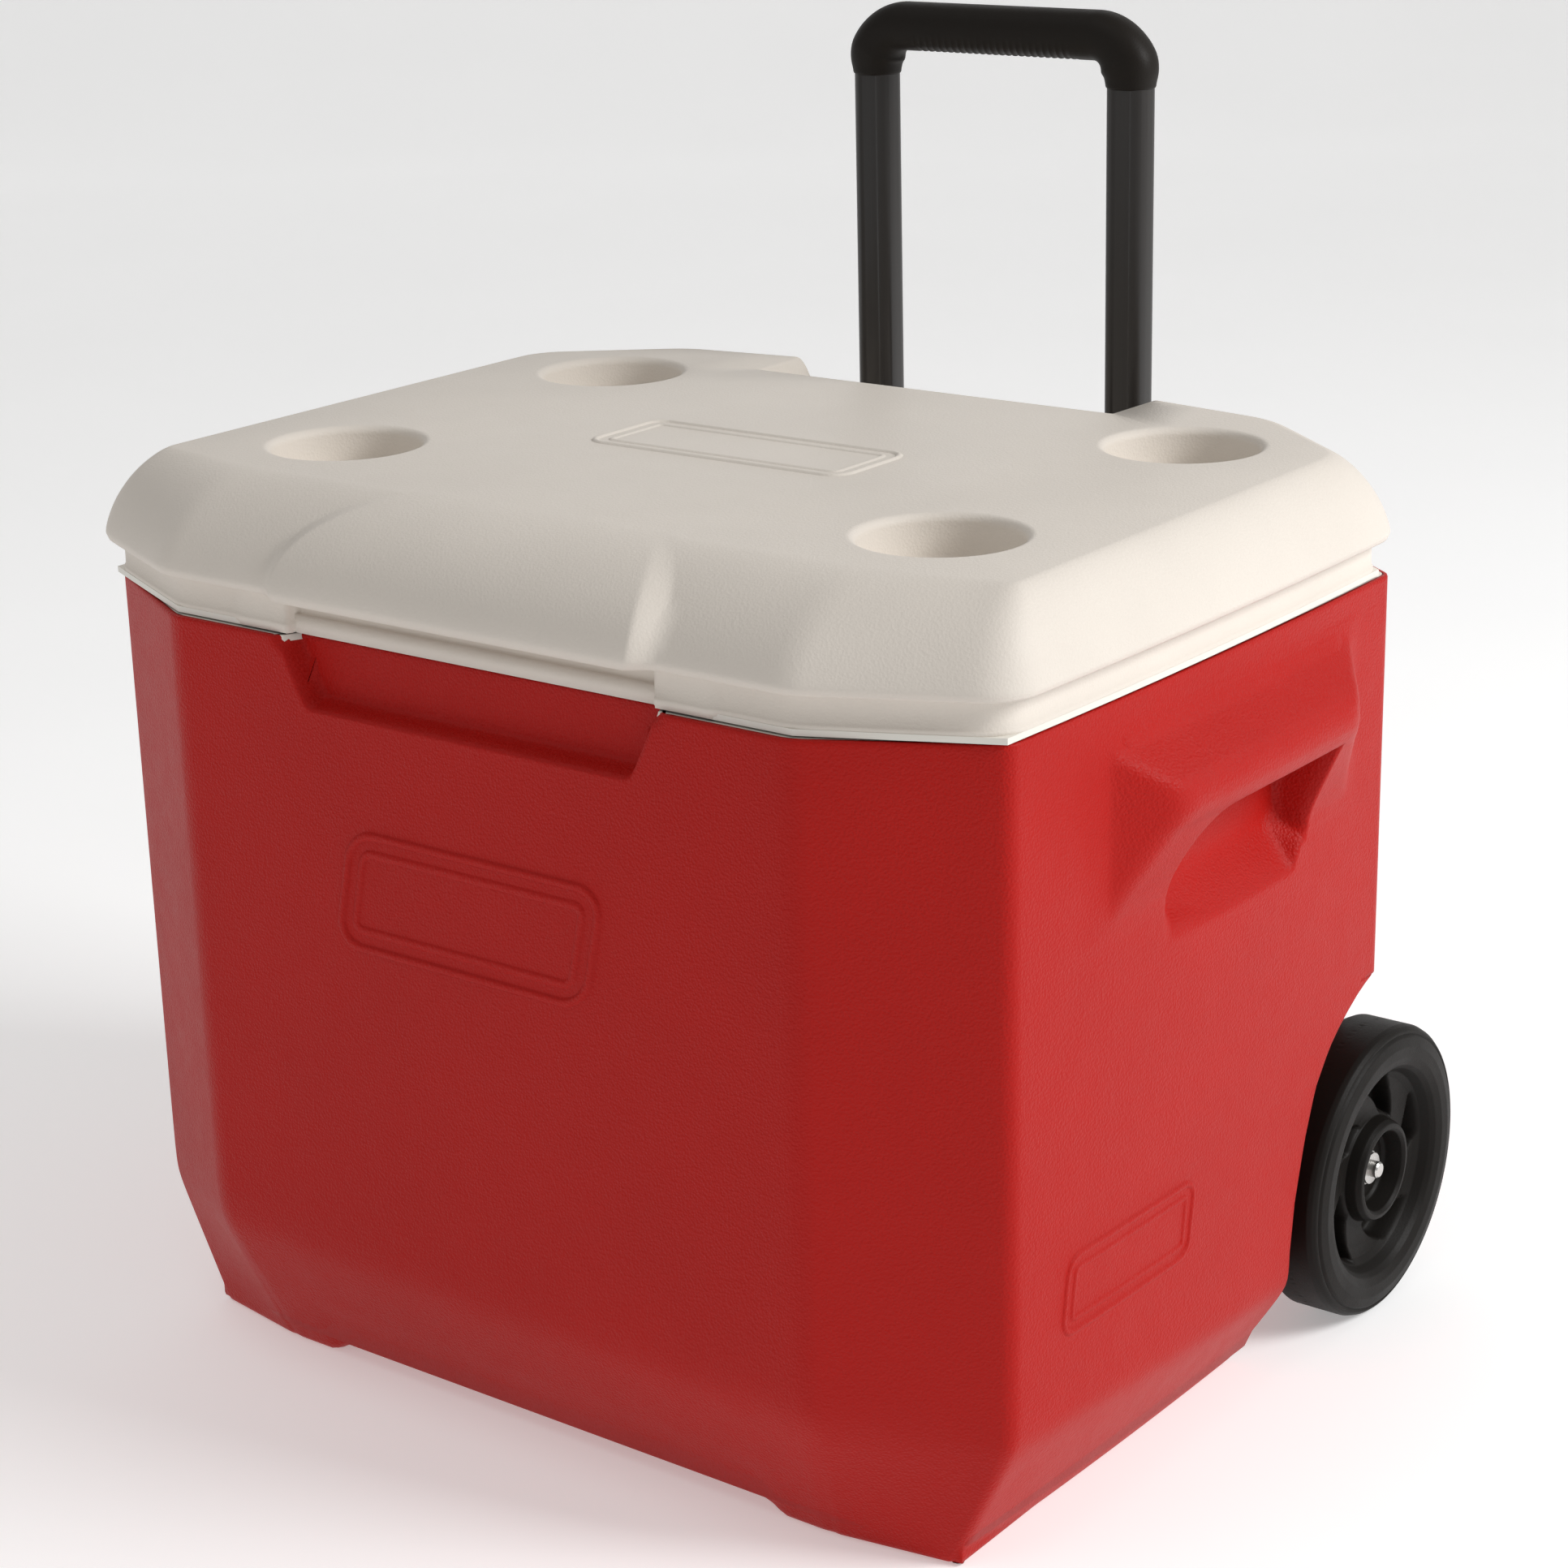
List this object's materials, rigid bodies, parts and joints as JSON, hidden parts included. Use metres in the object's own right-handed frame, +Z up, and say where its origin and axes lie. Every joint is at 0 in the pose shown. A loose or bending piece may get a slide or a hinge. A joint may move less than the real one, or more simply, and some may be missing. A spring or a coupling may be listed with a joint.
{
  "type": "wheeled cooler chest",
  "caption": "Wheeled cooler chest: red insulated body, white hinged lid with cup holders, telescoping pull handle and side hand holds.",
  "frame": {"origin": "centre of the bounding box's footprint, on the ground under the feet and wheels", "axes": "+Z up, -Y towards the front with the finger brow, +Y towards the wheels and pull handle, +X to the right as seen from the front"},
  "size_m": [0.6096, 0.488, 0.675],
  "materials": {
    "red_body": "fine pebble grain",
    "white_lid": "fine leather grain",
    "white_liner": "smooth",
    "foam": "rigid foam",
    "black_grip": "satin",
    "black_tube": "satin powder coat",
    "black_wheel": "satin",
    "black_bracket": "satin",
    "white_hinge": "satin",
    "grey_sleeve": "drawn",
    "grey_bush": "smooth",
    "steel": "zinc plated"
  },
  "bodies": {
    "chest": {"body_shell": "red_body", "body_liner": "white_liner", "body_foam": "foam", "hinge_body_screws": "steel", "guide_upper": "black_bracket", "guide_lower": "black_bracket", "guide_screws": "steel", "axle": "steel", "hinge_body_leaf_left": "white_hinge", "hinge_body_leaf_right": "white_hinge", "hinge_pin_left": "steel", "hinge_pin_right": "steel", "handle_sleeve_left": "grey_sleeve", "handle_sleeve_right": "grey_sleeve", "axle_washer_left": "steel", "axle_washer_right": "steel", "push_nut_left": "steel", "push_nut_right": "steel"},
    "lid": {"lid_shell": "white_lid", "lid_pan": "white_liner", "lid_foam": "foam", "hinge_lid_screws": "steel", "hinge_lid_leaf_left": "white_hinge", "hinge_lid_leaf_right": "white_hinge"},
    "pull_handle": {"handle_grip": "black_grip", "grip_screws": "steel", "handle_tube_left": "black_tube", "handle_tube_right": "black_tube", "tube_bush_left": "grey_bush", "tube_bush_right": "grey_bush"},
    "wheel_left": {"wheel_left": "black_wheel"},
    "wheel_right": {"wheel_right": "black_wheel"}
  },
  "joints": [
    {"name": "lid_hinge", "type": "hinge", "parent": "chest", "child": "lid", "pos_m": [0, 0.217, 0.414], "axis": [-1, 0, 0], "range_deg": [0, 44]},
    {"name": "handle_slide", "type": "slide", "parent": "chest", "child": "pull_handle", "axis": [0, 0, 1], "range_m": [-0.225, 0]},
    {"name": "wheel_left_spin", "type": "hinge", "parent": "chest", "child": "wheel_left", "pos_m": [-0.27, 0.164, 0.08], "axis": [1, 0, 0], "continuous": true},
    {"name": "wheel_right_spin", "type": "hinge", "parent": "chest", "child": "wheel_right", "pos_m": [0.27, 0.164, 0.08], "axis": [1, 0, 0], "continuous": true}
  ]
}
